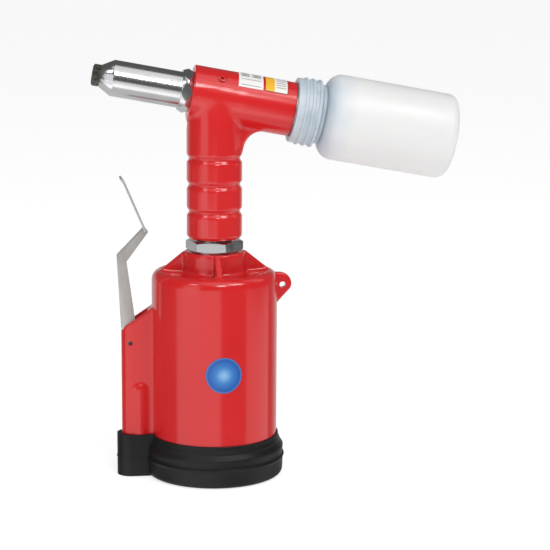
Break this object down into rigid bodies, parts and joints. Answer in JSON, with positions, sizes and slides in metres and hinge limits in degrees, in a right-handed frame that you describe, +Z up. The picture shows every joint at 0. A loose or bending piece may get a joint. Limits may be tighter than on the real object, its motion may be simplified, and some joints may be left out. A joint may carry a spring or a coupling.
{
  "type": "pneumatic rivet gun",
  "caption": "Hand-held air-hydraulic riveter: air cylinder foot with rubber boot, upright grip, tilted barrel, chrome nose, lever trigger and clip-on mandrel bottle.",
  "frame": {"origin": "centre of the boot's flat underside, on the air cylinder's axis", "axes": "+Z up along the air cylinder and grip, the nose points towards -X, the mandrel bottle towards +X, the air inlet is on the +Y side"},
  "size_m": [0.2328, 0.0902, 0.2666],
  "materials": {
    "boot_rubber": "satin black moulded rubber",
    "red_enamel": "gloss red enamel on cast aluminium",
    "seal_rubber": "black nitrile rubber",
    "spring_steel": "drawn spring wire",
    "turned_aluminium": "turned",
    "plated_steel": "bright plated",
    "nose_chrome": "polished chrome plate",
    "nosepiece_steel": "oiled dark steel",
    "dark_steel": "hardened, black oxide",
    "copper_washer": "soft copper",
    "brass": "turned brass",
    "label_white": null,
    "label_amber": null,
    "badge_blue": null,
    "trigger_steel": "brushed sheet steel",
    "collar_plastic": "translucent moulded plastic",
    "bottle_plastic": "milky translucent polyethylene"
  },
  "bodies": {
    "gun": {"rubber_boot": "boot_rubber", "circlip": "spring_steel", "bottom_cap": "turned_aluminium", "bottom_cap_seal": "seal_rubber", "air_cylinder": "red_enamel", "cylinder_top": "red_enamel", "valve_block": "red_enamel", "bumper_ring": "seal_rubber", "connector_gland": "plated_steel", "gland_seal": "seal_rubber", "gland_o_ring": "seal_rubber", "lock_washer": "plated_steel", "handle_lock_nut": "plated_steel", "head_casting": "red_enamel", "rod_seal": "seal_rubber", "nose_housing": "nose_chrome", "nose_lock_nut": "nose_chrome", "nosepiece": "nosepiece_steel", "rear_cap": "turned_aluminium", "rear_cap_seal": "seal_rubber", "spigot_o_ring": "seal_rubber", "bleed_screw": "red_enamel", "bleed_washer": "copper_washer", "rating_label": "label_white", "service_label": "label_amber", "cylinder_badge": "badge_blue", "valve_plug": "brass", "valve_plug_seal": "seal_rubber", "trigger_pin": "plated_steel", "inlet_bush": "brass", "inlet_washer": "copper_washer", "exhaust_silencer": "brass", "return_spring": "spring_steel", "valve_spring": "spring_steel"},
    "air_piston": {"air_piston": "turned_aluminium", "air_piston_seal": "seal_rubber", "ram": "plated_steel", "ram_nut": "plated_steel"},
    "head_piston": {"head_piston": "plated_steel", "head_piston_seal": "seal_rubber", "mandrel_tube": "plated_steel", "piston_coupler": "dark_steel", "jaw_case": "dark_steel", "jaw_spring": "spring_steel"},
    "jaw_a": {"jaw_a": "dark_steel"},
    "jaw_b": {"jaw_b": "dark_steel"},
    "jaw_c": {"jaw_c": "dark_steel"},
    "jaw_pusher": {"jaw_pusher": "plated_steel"},
    "valve_spool": {"valve_spool": "plated_steel", "valve_seals": "seal_rubber"},
    "trigger": {"trigger_lever": "trigger_steel"},
    "bottle": {"bottle_collar": "collar_plastic", "collection_bottle": "bottle_plastic"}
  },
  "joints": [
    {"name": "piston_lift", "type": "slide", "parent": "gun", "child": "air_piston", "axis": [0, 0, 1], "range_m": [0, 0.07]},
    {"name": "head_pull", "type": "slide", "parent": "gun", "child": "head_piston", "axis": [0.9839, 0, -0.1788], "range_m": [0, 0.018], "stiffness_N_per_m": 1500, "springref_m": -0.005, "deforming": ["return_spring"]},
    {"name": "jaw_a_slide", "type": "slide", "parent": "head_piston", "child": "jaw_a", "axis": [-0.9534, -0.1504, 0.2615], "range_m": [0, 0.00152]},
    {"name": "jaw_b_slide", "type": "slide", "parent": "head_piston", "child": "jaw_b", "axis": [-1, 0, 0.0052], "range_m": [0, 0.00152]},
    {"name": "jaw_c_slide", "type": "slide", "parent": "head_piston", "child": "jaw_c", "axis": [-0.9534, 0.1504, 0.2615], "range_m": [0, 0.00152]},
    {"name": "jaw_pusher_slide", "type": "slide", "parent": "head_piston", "child": "jaw_pusher", "axis": [-0.9839, 0, 0.1788], "range_m": [0, 0.0015], "deforming": ["jaw_spring"]},
    {"name": "trigger_pivot", "type": "hinge", "parent": "gun", "child": "trigger", "pos_m": [-0.0544, 0, 0.0871], "axis": [0, 1, 0], "range_deg": [0, 10], "stiffness_Nm_per_rad": 0.2, "springref_deg": -14.9},
    {"name": "valve_slide", "type": "slide", "parent": "gun", "child": "valve_spool", "axis": [0, 0, -1], "range_m": [0, 0.0014], "stiffness_N_per_m": 300, "springref_m": -0.002, "deforming": ["valve_spring"]},
    {"name": "bottle_pull", "type": "slide", "parent": "gun", "child": "bottle", "axis": [0.9839, 0, -0.1788], "range_m": [0, 0.018]}
  ],
  "couplings": [
    {"joint": "head_pull", "follows": "piston_lift", "ratio": 0.25156},
    {"joint": "jaw_a_slide", "follows": "piston_lift", "ratio": 0.021429},
    {"joint": "jaw_b_slide", "follows": "piston_lift", "ratio": 0.021429},
    {"joint": "jaw_c_slide", "follows": "piston_lift", "ratio": 0.021429},
    {"joint": "jaw_pusher_slide", "follows": "piston_lift", "ratio": 0.021103},
    {"joint": "valve_slide", "follows": "trigger_pivot", "m_per_rad": 0.0078}
  ]
}
